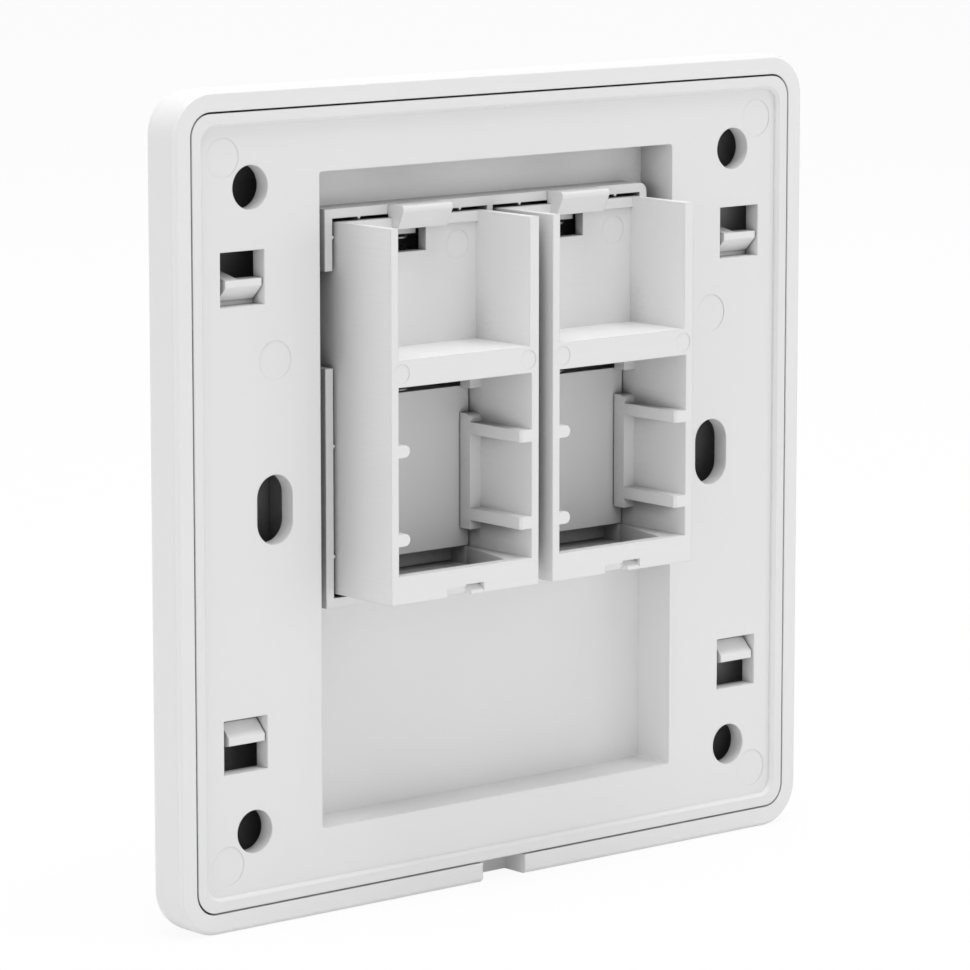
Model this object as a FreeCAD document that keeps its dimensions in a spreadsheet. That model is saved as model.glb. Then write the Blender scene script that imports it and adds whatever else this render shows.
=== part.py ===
"""Two-port snap-in wall faceplate, modelled as it comes apart on a bench.

Frame: X to the right and Z up as seen from the room, Y into the wall. The origin lies midway
between the two fixing slots, on the plane of the wall. "Depth" counts from that plane towards
the room, so a depth d is the coordinate Y = -d, and what stands out behind has a negative depth.
"""
import FreeCAD, Part
import math
import os

import Sketcher

doc = FreeCAD.newDocument("faceplate")

# ---------------------------------------------------------------------------------------------
# Driving dimensions, in millimetres
# ---------------------------------------------------------------------------------------------
SIZES = [
    # front cover
    ("cover_side", 86.0),            # outer width and height
    ("cover_corner", 4.6),           # radius of the outline's corners
    ("cover_edge_depth", 5.1),       # wall plane to where the bevel starts
    ("cover_bevel", 9.6),            # width of the bevel round the flat front
    ("cover_edge_round", 2.4),       # round between side and bevel
    ("cover_mitre_round", 6.0),      # round where two bevels meet
    ("cover_rear_bevel", 0.35),      # between side and rear rim
    ("cover_rim", 2.1),              # width of the rear rim
    ("cover_wall", 1.6),             # thickness of the front panel
    ("pry_width", 5.9),              # screwdriver notch in the lower rim
    ("pry_depth", 3.35),
    # fit between the pieces
    ("rim_gap", 0.2),                # cover rim to mounting plate
    ("panel_gap", 0.1),              # plate floor to cover panel
    ("bevel_gap", 0.5),              # plate to the inside of the cover's bevel
    ("bezel_gap", 0.2),              # bezels to each other and to the cover window
    ("frame_gap", 0.38),             # port housings to the frame on the plate
    ("slide_gap", 0.2),              # shutter to its guides
    ("insert_gap", 0.1),             # bezel collar inside its housing
    # mounting plate
    ("plate_corner", 2.3),
    ("plate_rim", 1.4),              # raised border that touches the wall
    ("rim_step", 0.55),              # flat of the plate below that border
    ("rim_soften", 0.3),             # bevel on the border's inner edge
    ("plate_wall", 1.85),            # thickness of the flat
    ("skirt_depth", 3.9),            # front edge of the perimeter skirt
    ("skirt_wall", 1.2),
    ("recess_side", 2.07),           # beside the frame of ribs, to the recess walls
    ("recess_height", 68.1),
    ("recess_round", 0.35),          # radius in the recess corners
    ("recess_floor", 5.6),           # depth of the recess floor
    ("recess_wall", 1.6),
    ("floor_wall", 1.5),
    ("hole_spacing", 66.1),          # four round fixing holes
    ("hole_bore", 4.5),
    ("slot_spacing", 60.3),          # two upright fixing slots
    ("slot_bore", 4.6),
    ("slot_length", 7.2),
    ("window_side", 5.6),            # four windows for the cover hooks
    ("window_across", 34.12),
    ("window_up", 23.9),
    # cover hooks and the ledges they catch on
    ("hook_width", 4.6),
    ("hook_shift", 0.3),             # from the window centre, towards -X
    ("hook_arm", 1.7),               # width of the arm behind the head
    ("hook_tip_depth", 0.75),
    ("hook_tip", 0.75),              # height of the blunt tip
    ("hook_offset", 0.85),           # tip's lower edge, below the window centre
    ("hook_ramp", 1.45),             # ramp's length in depth
    ("hook_reach", 1.45),            # how far the nose reaches past the tip
    ("hook_catch", 0.25),            # thickness of the nose behind the ramp
    ("hook_taper", 1.4),             # how much thicker the arm is at its root
    ("hook_root", 0.2),              # how far the arm runs into the front panel
    ("arm_gap", 0.35),               # arm to ledge
    ("catch_gap", 0.1),              # nose to ledge
    ("ledge_wall", 1.25),
    ("ledge_side", 0.8),             # ledge past the window on each side
    # frame of ribs that locates the port housings
    ("frame_wall", 1.0),
    ("frame_depth", 2.35),           # rear edge of the ribs
    ("frame_round", 1.0),
    ("divider_wall", 0.76),
    ("break_top", 23.55),            # break in one upright rib
    ("break_bottom", 13.5),
    ("crush_width", 0.9),            # crush ribs that centre the housings
    ("crush_height", 0.3),
    ("crush_across", 6.75),          # from the middle of each housing
    ("crush_high", 27.0),            # heights on the outer ribs
    ("crush_middle", 5.4),
    ("crush_low", 6.1),              # below the origin
    # port housings
    ("port_gap", 1.94),              # between the two housings
    ("housing_width", 19.78),
    ("housing_top", 28.55),
    ("housing_bottom", 10.1),        # below the origin
    ("housing_rear", 6.65),          # stands out behind the wall plane
    ("housing_wall", 0.95),
    ("upper_left_wall", 1.25),       # left wall beside the upper compartment
    ("partition_depth", 1.95),       # rear face of the upper wall
    ("partition_wall", 1.2),
    ("cap_wall", 1.2),
    ("base_wall", 1.0),
    ("shelf_top", 15.1),
    ("shelf_wall", 2.8),
    ("sill_height", 2.9),            # lower opening, above the housing's bottom
    ("sill_wall", 1.2),
    ("step_front", 0.6),             # wedge-shaped step beside the sill
    ("step_rear", 2.7),
    ("lip_height", 1.1),
    ("lip_proud", 0.3),
    ("window_right", 1.8),           # square hole in the upper wall
    ("window_width", 3.9),
    ("window_height", 2.55),
    # snap latch of the housing, over the frame's upper rib
    ("latch_right", 2.95),           # from the middle of the housing
    ("latch_left", 3.7),
    ("latch_foot", 0.75),            # depth where the slope meets the lip
    ("latch_gap", 0.05),
    ("latch_proud", 0.15),           # how far the latch stands behind the wall plane
    ("latch_face", 0.65),
    ("latch_round", 0.3),
    # jack guides in the lower opening
    ("guide_proud", 1.5),
    ("guide_wall", 1.6),
    ("guide_top", 7.2),
    ("guide_bottom", 5.1),           # below the origin
    ("rail_wall", 1.3),
    ("rail_upper", 5.05),
    ("rail_lower", 4.1),             # below the origin
    ("rail_chamfer", 0.25),          # lead-in at the rear end of each rail
    ("guide_round", 0.7),
    ("gusset_height", 2.4),
    # reliefs in the housing's bottom rear edge
    ("relief_height", 0.9),
    ("relief_run", 1.25),
    ("relief_right", 2.46),
    ("relief_left", 0.73),
    ("notch_top", 9.0),              # below the origin
    ("notch_run", 0.9),
    ("notch_left", 2.42),
    # front bezels
    ("bezel_lap", 1.2),              # past the housing, above and below
    ("collar_wall", 1.2),
    ("collar_depth", 5.75),
    ("port_width", 14.0),
    ("port_top", 5.8),
    ("port_bottom", 5.2),            # below the origin
    ("port_chamfer", 0.7),
    ("seat_width", 3.5),
    ("seat_wall", 0.7),
    # shutters
    ("rest_gap", 0.1),               # closed shutter above its stops
    ("shutter_height", 17.1),
    ("shutter_wall", 1.3),
    ("head_height", 1.5),            # thick upper edge under the spring
    ("head_wall", 2.2),
    ("grip_proud", 0.8),
    ("grip_wall", 0.7),
    ("grip_pitch", 1.6),
    ("grip_count", 4.0),
    ("grip_width", 10.0),
    ("grip_low", 3.4),               # lowest grip ridge, above the shutter's bottom
    # shutter springs
    ("spring_coil", 2.1),            # outer diameter
    ("spring_wire", 0.25),
    ("spring_turns", 6.0),
    ("spring_gap", 0.05),
    # ejector marks of the mould
    ("mark_depth", 0.05),
    ("plate_mark", 4.0),             # diameters
    ("wall_mark", 3.0),
    ("shelf_mark", 2.0),
    ("corner_mark_across", 36.5),    # four marks in the corners of the plate
    ("corner_mark_up", 36.2),
    ("side_mark_across", 30.0),      # and two above the slots
    ("side_mark_up", 15.3),
    ("wall_mark_left", 6.1),         # in the upper compartment, from the port's middle
    ("wall_mark_up", 25.2),
    ("shelf_mark_across", 8.5),      # at both ends of the shelf
    ("shelf_mark_up", 13.7),
]


sheet = doc.addObject("Spreadsheet::Sheet", "Sizes")
for row, (alias, size) in enumerate(SIZES, start=1):
    sheet.set(f"A{row}", alias)
    sheet.set(f"B{row}", str(size))
    sheet.setAlias(f"B{row}", alias)
doc.recompute()

# ---------------------------------------------------------------------------------------------
# Places that follow from the driving dimensions, as expressions on the sheet
# ---------------------------------------------------------------------------------------------
# outlines, from the centre outwards
COVER_EDGE = "Sizes.cover_side / 2"
RIM_EDGE = f"({COVER_EDGE} - Sizes.cover_rim)"
RIM_CORNER = "(Sizes.plate_corner + Sizes.rim_gap)"
PLATE_EDGE = f"({RIM_EDGE} - Sizes.rim_gap)"
FLAT_EDGE = f"({PLATE_EDGE} - Sizes.plate_rim)"
FRONT_EDGE = f"({COVER_EDGE} - Sizes.cover_bevel)"

# depths, from the wall towards the room
FLAT_FRONT = "(Sizes.rim_step + Sizes.plate_wall)"
FLOOR_FRONT = "(Sizes.recess_floor + Sizes.floor_wall)"
PANEL_BACK = f"({FLOOR_FRONT} + Sizes.panel_gap)"
COVER_FRONT = f"({PANEL_BACK} + Sizes.cover_wall)"
PARTITION_FRONT = "(Sizes.partition_depth + Sizes.partition_wall)"
SHUTTER_BACK = f"({PARTITION_FRONT} + Sizes.slide_gap)"

# the bevel and the inside of the cover, which runs parallel to it
SLOPE = f"(({COVER_FRONT} - Sizes.cover_edge_depth) / Sizes.cover_bevel)"
INNER_START = (f"(Sizes.cover_edge_depth + Sizes.cover_rim * {SLOPE}"
               f" - Sizes.cover_wall * sqrt(1 + {SLOPE} ^ 2))")
INNER_FLAT = f"({RIM_EDGE} - ({PANEL_BACK} - {INNER_START}) / {SLOPE})"

# port housings, with X counted from the middle of each port
PORT_ACROSS = "((Sizes.housing_width + Sizes.port_gap) / 2)"
HOUSING_EDGE = "Sizes.housing_width / 2"
INSIDE_EDGE = f"({HOUSING_EDGE} - Sizes.housing_wall)"
INSIDE_TOP = "(Sizes.housing_top - Sizes.cap_wall)"
INSIDE_BOTTOM = "(Sizes.base_wall - Sizes.housing_bottom)"
SHELF_BOTTOM = "(Sizes.shelf_top - Sizes.shelf_wall)"
SILL = "(Sizes.sill_height - Sizes.housing_bottom)"
GUIDE_EDGE = f"({INSIDE_EDGE} - Sizes.guide_proud)"
GUIDE_BACK = f"({PARTITION_FRONT} - Sizes.guide_wall)"
LIP_BOTTOM = "(Sizes.housing_top - Sizes.lip_height)"

# frame of ribs on the plate, and the opening inside it
FRAME_INSIDE = f"({PORT_ACROSS} + {HOUSING_EDGE} + Sizes.frame_gap)"
FRAME_OUTSIDE = f"({FRAME_INSIDE} + Sizes.frame_wall)"
FRAME_INSIDE_TOP = "(Sizes.housing_top + Sizes.frame_gap)"
FRAME_TOP = f"({FRAME_INSIDE_TOP} + Sizes.frame_wall)"
FRAME_INSIDE_BOTTOM = "(-Sizes.housing_bottom - Sizes.frame_gap)"
FRAME_BOTTOM = f"({FRAME_INSIDE_BOTTOM} - Sizes.frame_wall)"
RECESS_EDGE = f"({FRAME_OUTSIDE} + Sizes.recess_side)"

# front bezels
BEZEL_EDGE = f"({PORT_ACROSS} - Sizes.bezel_gap / 2)"
BEZEL_TOP = "(Sizes.housing_top + Sizes.bezel_lap)"
BEZEL_BOTTOM = "(-Sizes.housing_bottom - Sizes.bezel_lap)"
COLLAR_EDGE = f"({INSIDE_EDGE} - Sizes.insert_gap)"
COLLAR_TOP = f"({INSIDE_TOP} - Sizes.insert_gap)"
COLLAR_BOTTOM = f"({INSIDE_BOTTOM} + Sizes.insert_gap)"
SEAT = f"({COLLAR_TOP} - Sizes.seat_wall)"

# shutters and their springs
SHUTTER_EDGE = f"({INSIDE_EDGE} - Sizes.slide_gap)"
SHUTTER_BOTTOM = f"({SILL} + Sizes.rest_gap)"
SHUTTER_TOP = f"({SHUTTER_BOTTOM} + Sizes.shutter_height)"
SHUTTER_FRONT = f"({SHUTTER_BACK} + Sizes.shutter_wall)"
SPRING_DEPTH = f"({SHUTTER_BACK} + Sizes.head_wall / 2)"
SPRING_HEIGHT = f"({SEAT} - {SHUTTER_TOP} - 2 * Sizes.spring_gap)"


def number(expression):
    """Return what a sheet expression comes to, as a plain number."""
    return float(sheet.evalExpression(expression))


# ---------------------------------------------------------------------------------------------
# Sketches: every point is held by dimensions from the origin, bound to the sheet
# ---------------------------------------------------------------------------------------------
class Profile:
    """A sketch on one of a body's own planes, moved off it by an expression.

    On "XZ_Plane" the offset is a depth and the sketch reads X across and Z up. On "YZ_Plane" the
    offset is X and the sketch reads Y across and Z up. On "XY_Plane" the offset is Z.
    """

    def __init__(self, body, name, offset="0", plane="XZ_Plane"):
        self.sketch = body.newObject("Sketcher::SketchObject", name)
        origin_planes = body.Origin.OriginFeatures
        support = next(item for item in origin_planes if item.Role == plane)
        self.sketch.AttachmentSupport = [(support, "")]
        self.sketch.MapMode = "FlatFace"
        self.sketch.setExpression("AttachmentOffset.Base.z", offset)

    def constrain(self, kind, *arguments, expression=None):
        """Add a constraint, and bind its size to the sheet if it has one."""
        index = self.sketch.addConstraint(Sketcher.Constraint(kind, *arguments))
        if expression:
            self.sketch.setExpression(f"Constraints[{index}]", expression)

    def hold(self, edge, end, across, up):
        """Hold one point of an edge at its distances from the origin."""
        for kind, place, axis in (("DistanceX", across, -2), ("DistanceY", up, -1)):
            distance = number(place)
            if abs(distance) < 1e-9:
                self.constrain("PointOnObject", edge, end, axis)
            elif distance > 0:
                self.constrain(kind, -1, 1, edge, end, distance, expression=place)
            else:
                self.constrain(kind, edge, end, -1, 1, -distance, expression=f"-({place})")

    def line(self, start, end):
        points = [FreeCAD.Vector(number(x), number(y), 0) for x, y in (start, end)]
        return self.sketch.addGeometry(Part.LineSegment(*points))

    def path(self, corners):
        """Add straight edges from corner to corner, each held where it starts."""
        edges = [self.line(start, end) for start, end in zip(corners, corners[1:])]
        for edge, following in zip(edges, edges[1:]):
            self.constrain("Coincident", edge, 2, following, 1)
        for edge, corner in zip(edges, corners):
            self.hold(edge, 1, *corner)
        return edges

    def polygon(self, corners):
        """Add a closed outline of straight edges through the corners."""
        edges = self.path(corners + corners[:1])
        self.constrain("Coincident", edges[-1], 2, edges[0], 1)

    def rectangle(self, left, bottom, right, top):
        self.polygon([(left, bottom), (right, bottom), (right, top), (left, top)])

    def circle(self, across, up, bore):
        centre = FreeCAD.Vector(number(across), number(up), 0)
        normal = FreeCAD.Vector(0, 0, 1)
        edge = self.sketch.addGeometry(Part.Circle(centre, normal, number(bore) / 2))
        self.hold(edge, 3, across, up)
        self.constrain("Diameter", edge, number(bore), expression=bore)

    def arc(self, across, up, radius, first, last):
        centre = FreeCAD.Vector(number(across), number(up), 0)
        circle = Part.Circle(centre, FreeCAD.Vector(0, 0, 1), number(radius))
        sweep = Part.ArcOfCircle(circle, math.radians(first), math.radians(last))
        return self.sketch.addGeometry(sweep)

    def rounded_rectangle(self, half_width, half_height, radius):
        """Add a rectangle with rounded corners, centred on the origin."""
        corners = [(1, 1), (-1, 1), (-1, -1), (1, -1)]
        arcs = []
        for turn, (side_x, side_y) in enumerate(corners):
            across = f"{side_x} * ({half_width} - {radius})"
            up = f"{side_y} * ({half_height} - {radius})"
            arcs.append(self.arc(across, up, radius, 90 * turn, 90 * turn + 90))
        lines = []
        for arc, following in zip(arcs, arcs[1:] + arcs[:1]):
            start = self.sketch.Geometry[arc].EndPoint
            end = self.sketch.Geometry[following].StartPoint
            lines.append(self.sketch.addGeometry(Part.LineSegment(start, end)))
        for turn, (arc, line) in enumerate(zip(arcs, lines)):
            self.constrain("Tangent", arc, 2, line, 1)
            self.constrain("Tangent", line, 2, arcs[(turn + 1) % 4], 1)
            self.constrain(("Horizontal", "Vertical")[turn % 2], line)
        for arc in arcs[1:]:
            self.constrain("Equal", arcs[0], arc)
        self.constrain("Radius", arcs[0], number(radius), expression=radius)
        width, height = number(half_width), number(half_height)
        self.constrain("DistanceY", -1, 1, lines[0], 1, height, expression=half_height)
        self.constrain("DistanceX", lines[1], 1, -1, 1, width, expression=half_width)
        self.constrain("DistanceY", lines[2], 1, -1, 1, height, expression=half_height)
        self.constrain("DistanceX", -1, 1, lines[3], 1, width, expression=half_width)

    def slot(self, first, last, radius):
        """Add a slot with round ends, about the line from its first to its last centre."""
        upright = first[0] == last[0]
        lean = 0 if upright else 90
        arcs = [self.arc(*first, radius, lean, lean + 180),
                self.arc(*last, radius, lean + 180, lean + 360)]
        for arc, centre in zip(arcs, (first, last)):
            self.hold(arc, 3, *centre)
        for arc, following in (arcs, arcs[::-1]):
            start = self.sketch.Geometry[arc].EndPoint
            end = self.sketch.Geometry[following].StartPoint
            line = self.sketch.addGeometry(Part.LineSegment(start, end))
            self.constrain("Tangent", arc, 2, line, 1)
            self.constrain("Tangent", line, 2, following, 1)
        self.constrain("Radius", arcs[0], number(radius), expression=radius)


# ---------------------------------------------------------------------------------------------
# Features
# ---------------------------------------------------------------------------------------------
def new_body(label):
    body = doc.addObject("PartDesign::Body", label)
    body.Label = label
    return body


def grow(body, profile, length, name):
    """Pad a profile along its plane's normal: towards the room, to +X or up."""
    feature = body.newObject("PartDesign::Pad", name)
    feature.Profile = profile.sketch
    feature.setExpression("Length", length)
    doc.recompute()
    return feature


def trim(body, profile, length, name):
    """Cut a profile along its plane's normal, towards the room, to +X or up."""
    feature = body.newObject("PartDesign::Pocket", name)
    feature.Profile = profile.sketch
    feature.Reversed = True
    feature.setExpression("Length", length)
    doc.recompute()
    return feature


def sink(body, profile, length, name):
    """Cut a profile as trim does, and make sure that it took something away."""
    before = body.Shape.Volume
    feature = trim(body, profile, length, name)
    if body.Shape.Volume > before - 1e-6:
        raise RuntimeError(f"{body.Label}: {name} cuts nothing")
    return feature


def dress(body, kind, keep, size, name):
    """Put a Fillet or a Chamfer on the edges whose bounding boxes pass a test."""
    base = body.Tip
    edges = [f"Edge{index}" for index, edge in enumerate(body.Shape.Edges, start=1)
             if keep(edge.BoundBox)]
    feature = body.newObject(f"PartDesign::{kind}", name)
    feature.Base = (base, edges)
    feature.setExpression({"Fillet": "Radius", "Chamfer": "Size"}[kind], size)
    doc.recompute()
    return feature


def at_depth(depth, box):
    """Tell whether an edge lies flat at a depth."""
    return abs(box.YMin + depth) < 1e-4 and abs(box.YMax + depth) < 1e-4


def within(box, half_width, half_height):
    """Tell whether an edge stays inside a rectangle about the body's Y axis."""
    return (max(abs(box.XMin), abs(box.XMax)) < half_width + 1e-4
            and max(abs(box.ZMin), abs(box.ZMax)) < half_height + 1e-4)


# ---------------------------------------------------------------------------------------------
# Front cover: a bevelled frame whose four hooks snap into the mounting plate
# ---------------------------------------------------------------------------------------------
def hook_profile(side, with_arm):
    """Outline of a cover hook, Y across and Z up, for the upper (1) or lower (-1) windows."""
    tip_low = "(Sizes.window_up - Sizes.hook_offset)"
    tip_high = f"({tip_low} + Sizes.hook_tip)"
    nose = f"({tip_low} - Sizes.hook_reach)"
    ramp_end = "(Sizes.hook_tip_depth + Sizes.hook_ramp)"
    catch = f"({ramp_end} + Sizes.hook_catch)"
    root = f"({PANEL_BACK} + Sizes.hook_root)"
    arm_low = f"({tip_low} - Sizes.arm_gap / 2)"
    arm = [(catch, arm_low), (root, arm_low), (root, f"({tip_high} + Sizes.hook_taper)")]
    corners = [
        ("Sizes.hook_tip_depth", tip_high),
        ("Sizes.hook_tip_depth", tip_low),
        (ramp_end, nose),
        (catch, nose),
        *(arm if with_arm else [(catch, tip_high)]),
    ]
    return [(f"-{depth}", f"{side} * {up}") for depth, up in corners]


def cut_slope(body, plane, side, front, edge):
    """Cut away all that stands in front of a plane parallel to one of the cover's bevels.

    The plane passes through the depth front at the distance edge from the middle, on one side.
    It only keeps a clearance, so it may cut nothing.
    """
    beyond = f"({COVER_EDGE} + Sizes.cover_rim)"
    wedge = Profile(body, "slope_outline", f"-{beyond}", plane)
    corners = [
        (front, edge),
        (f"({front} + Sizes.cover_rim)", edge),
        (f"({front} + Sizes.cover_rim)", beyond),
        (f"({front} - {SLOPE} * ({beyond} - {edge}))", beyond),
    ]
    points = [(f"-{depth}", f"{side} * {across}") for depth, across in corners]
    if plane == "XY_Plane":
        points = [(across, depth) for depth, across in points]
    wedge.polygon(points)
    trim(body, wedge, f"2 * {beyond}", "slope")


def build_cover():
    body = new_body("front_cover")

    outline = Profile(body, "cover_outline")
    outline.rounded_rectangle(COVER_EDGE, COVER_EDGE, "Sizes.cover_corner")
    grow(body, outline, COVER_FRONT, "cover_block")
    for plane in ("YZ_Plane", "XY_Plane"):
        for side in (1, -1):
            cut_slope(body, plane, side, COVER_FRONT, FRONT_EDGE)
    dress(body, "Fillet", lambda box: min(box.XLength, box.YLength, box.ZLength) > 1,
          "Sizes.cover_mitre_round", "mitre_round")
    shallow = number("Sizes.cover_edge_depth") - 1e-4
    deep = number(f"Sizes.cover_edge_depth + Sizes.cover_corner * {SLOPE}")
    dress(body, "Fillet", lambda box: -box.YMax > shallow and -box.YMin < deep,
          "Sizes.cover_edge_round", "front_edge_round")
    dress(body, "Chamfer", lambda box: at_depth(0, box),
          "Sizes.cover_rear_bevel", "rear_edge_bevel")

    well = Profile(body, "cover_inside")
    well.rounded_rectangle(RIM_EDGE, RIM_EDGE, RIM_CORNER)
    sink(body, well, INNER_START, "cover_well")
    inner_foot = Profile(body, "inner_foot", INNER_START)
    inner_foot.rounded_rectangle(RIM_EDGE, RIM_EDGE, RIM_CORNER)
    inner_top = Profile(body, "inner_top", PANEL_BACK)
    inner_top.rounded_rectangle(INNER_FLAT, INNER_FLAT, RIM_CORNER)
    hollow = body.newObject("PartDesign::SubtractiveLoft", "cover_hollow")
    hollow.Profile = inner_foot.sketch
    hollow.Sections = [inner_top.sketch]
    hollow.Ruled = True
    doc.recompute()

    window = Profile(body, "bezel_window", PANEL_BACK)
    window_edge = f"({PORT_ACROSS} + {BEZEL_EDGE} + Sizes.bezel_gap)"
    window.rectangle(f"-{window_edge}", f"{BEZEL_BOTTOM} - Sizes.bezel_gap",
                     window_edge, f"{BEZEL_TOP} + Sizes.bezel_gap")
    sink(body, window, "Sizes.cover_wall", "bezel_opening")

    for side_x in (1, -1):
        for side_z in (1, -1):
            end = f"({side_x} * Sizes.window_across - Sizes.hook_shift + Sizes.hook_width / 2)"
            for part, width in enumerate(("Sizes.hook_width", "Sizes.hook_arm")):
                hook = Profile(body, "hook_outline", f"{end} - {width}", "YZ_Plane")
                hook.polygon(hook_profile(side_z, with_arm=bool(part)))
                grow(body, hook, width, ("hook_head", "hook_arm")[part])

    notch = Profile(body, "pry_outline")
    notch.rectangle("-Sizes.pry_width / 2", f"-{COVER_EDGE} - Sizes.cover_rim",
                    "Sizes.pry_width / 2", f"-{RIM_EDGE} + Sizes.rim_gap")
    sink(body, notch, "Sizes.pry_depth", "pry_notch")
    return body


# ---------------------------------------------------------------------------------------------
# Mounting plate: a stiff tray screwed to the wall box, with a recess for the port housings
# ---------------------------------------------------------------------------------------------
def build_plate():
    body = new_body("mounting_plate")

    outline = Profile(body, "plate_outline")
    outline.rounded_rectangle(PLATE_EDGE, PLATE_EDGE, "Sizes.plate_corner")
    grow(body, outline, FLAT_FRONT, "plate")
    flat = Profile(body, "flat_outline")
    flat.rounded_rectangle(FLAT_EDGE, FLAT_EDGE, "(Sizes.plate_corner - Sizes.plate_rim / 2)")
    sink(body, flat, "Sizes.rim_step", "plate_flat")
    flat_edge = number(FLAT_EDGE)
    dress(body, "Chamfer", lambda box: at_depth(0, box) and within(box, flat_edge, flat_edge),
          "Sizes.rim_soften", "rim_bevel")

    skirt = Profile(body, "skirt_outline", FLAT_FRONT)
    skirt.rounded_rectangle(PLATE_EDGE, PLATE_EDGE, "Sizes.plate_corner")
    skirt_inside = f"({PLATE_EDGE} - Sizes.skirt_wall)"
    skirt.rounded_rectangle(skirt_inside, skirt_inside,
                            "(Sizes.plate_corner - Sizes.skirt_wall)")
    grow(body, skirt, f"Sizes.skirt_depth - {FLAT_FRONT}", "skirt")

    box = Profile(body, "recess_box", FLAT_FRONT)
    box.rounded_rectangle(f"({RECESS_EDGE} + Sizes.recess_wall)",
                          "(Sizes.recess_height / 2 + Sizes.recess_wall)",
                          "(Sizes.recess_round + Sizes.recess_wall)")
    grow(body, box, f"{FLOOR_FRONT} - {FLAT_FRONT}", "recess_walls")
    recess = Profile(body, "recess_outline")
    recess.rounded_rectangle(RECESS_EDGE, "Sizes.recess_height / 2", "Sizes.recess_round")
    sink(body, recess, "Sizes.recess_floor", "recess")
    for side in (1, -1):
        cut_slope(body, "YZ_Plane", side, PANEL_BACK, f"({INNER_FLAT} - Sizes.bevel_gap)")

    frame = Profile(body, "frame_outline", "Sizes.frame_depth")
    frame.rectangle(f"-{FRAME_OUTSIDE}", FRAME_BOTTOM, FRAME_OUTSIDE, FRAME_TOP)
    grow(body, frame, "Sizes.recess_floor - Sizes.frame_depth", "frame")
    corner = number(f"-{FRAME_OUTSIDE}"), number(FRAME_TOP)
    dress(body, "Fillet", lambda box: abs(box.XMax - corner[0]) < 1e-4
          and abs(box.XMin - corner[0]) < 1e-4
          and abs(box.ZMin - corner[1]) < 1e-4,
          "Sizes.frame_round", "frame_corner_round")

    openings = Profile(body, "frame_openings", "Sizes.frame_depth")
    openings.rectangle("Sizes.divider_wall / 2", FRAME_INSIDE_BOTTOM,
                       FRAME_INSIDE, FRAME_INSIDE_TOP)
    openings.rectangle(f"-{FRAME_INSIDE}", FRAME_INSIDE_BOTTOM,
                       "-Sizes.divider_wall / 2", FRAME_INSIDE_TOP)
    sink(body, openings, f"{FLOOR_FRONT} - Sizes.frame_depth", "housing_openings")

    rib_break = Profile(body, "break_outline", "Sizes.frame_depth")
    rib_break.rectangle(f"{FRAME_INSIDE} - Sizes.frame_wall / 2", "Sizes.break_bottom",
                        f"{FRAME_OUTSIDE} + Sizes.frame_wall / 2", "Sizes.break_top")
    sink(body, rib_break, "Sizes.recess_floor - Sizes.frame_depth", "rib_break")

    crush_ribs = Profile(body, "crush_outline", "Sizes.frame_depth")
    half = "Sizes.crush_width / 2"
    for port in (1, -1):
        for side in (1, -1):
            place = f"({port} * {PORT_ACROSS} + {side} * Sizes.crush_across)"
            crush_ribs.polygon([
                (f"{place} - {half}", f"{FRAME_INSIDE_TOP} + Sizes.crush_height"),
                (place, f"{FRAME_INSIDE_TOP} - Sizes.crush_height"),
                (f"{place} + {half}", f"{FRAME_INSIDE_TOP} + Sizes.crush_height"),
            ])
        for height in ("Sizes.crush_high", "Sizes.crush_middle", "(-Sizes.crush_low)"):
            crush_ribs.polygon([
                (f"{port} * ({FRAME_INSIDE} + Sizes.crush_height)", f"{height} - {half}"),
                (f"{port} * ({FRAME_INSIDE} - Sizes.crush_height)", height),
                (f"{port} * ({FRAME_INSIDE} + Sizes.crush_height)", f"{height} + {half}"),
            ])
    grow(body, crush_ribs, f"{FLOOR_FRONT} - Sizes.frame_depth", "crush_ribs")

    fixings = Profile(body, "fixing_outline", "Sizes.rim_step")
    for side_x in (1, -1):
        for side_z in (1, -1):
            fixings.circle(f"{side_x} * Sizes.hole_spacing / 2",
                           f"{side_z} * Sizes.hole_spacing / 2", "Sizes.hole_bore")
        slot_x = f"{side_x} * Sizes.slot_spacing / 2"
        straight = "(Sizes.slot_length - Sizes.slot_bore) / 2"
        fixings.slot((slot_x, straight), (slot_x, f"-{straight}"), "Sizes.slot_bore / 2")
    sink(body, fixings, "Sizes.plate_wall", "fixing_holes")

    windows = Profile(body, "window_outline", "Sizes.rim_step")
    reach = "Sizes.window_side / 2"
    for side_x in (1, -1):
        for side_z in (1, -1):
            across = f"{side_x} * Sizes.window_across"
            up = f"{side_z} * Sizes.window_up"
            windows.rectangle(f"{across} - {reach}", f"{up} - {reach}",
                              f"{across} + {reach}", f"{up} + {reach}")
    sink(body, windows, "Sizes.plate_wall", "hook_windows")

    nose_front = ("(Sizes.hook_tip_depth + Sizes.hook_ramp + Sizes.hook_catch"
                  " + Sizes.catch_gap)")
    ledge_front = f"({nose_front} + Sizes.ledge_wall)"
    foot = f"(Sizes.window_up - {reach})"
    ledge_top = "(Sizes.window_up - Sizes.hook_offset - 1.5 * Sizes.arm_gap)"
    for side_x in (1, -1):
        start = (f"{side_x} * Sizes.window_across - {reach} - Sizes.ledge_side")
        for side_z in (1, -1):
            ledge = Profile(body, "ledge_outline", start, "YZ_Plane")
            ledge.polygon([(f"-{depth}", f"{side_z} * {up}") for depth, up in (
                (FLAT_FRONT, f"({foot} - Sizes.ledge_wall)"),
                (FLAT_FRONT, foot),
                (nose_front, foot),
                (nose_front, ledge_top),
                (ledge_front, ledge_top),
                (ledge_front, f"({foot} - Sizes.ledge_wall)"))])
            grow(body, ledge, "Sizes.window_side + 2 * Sizes.ledge_side", "hook_ledge")

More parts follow.
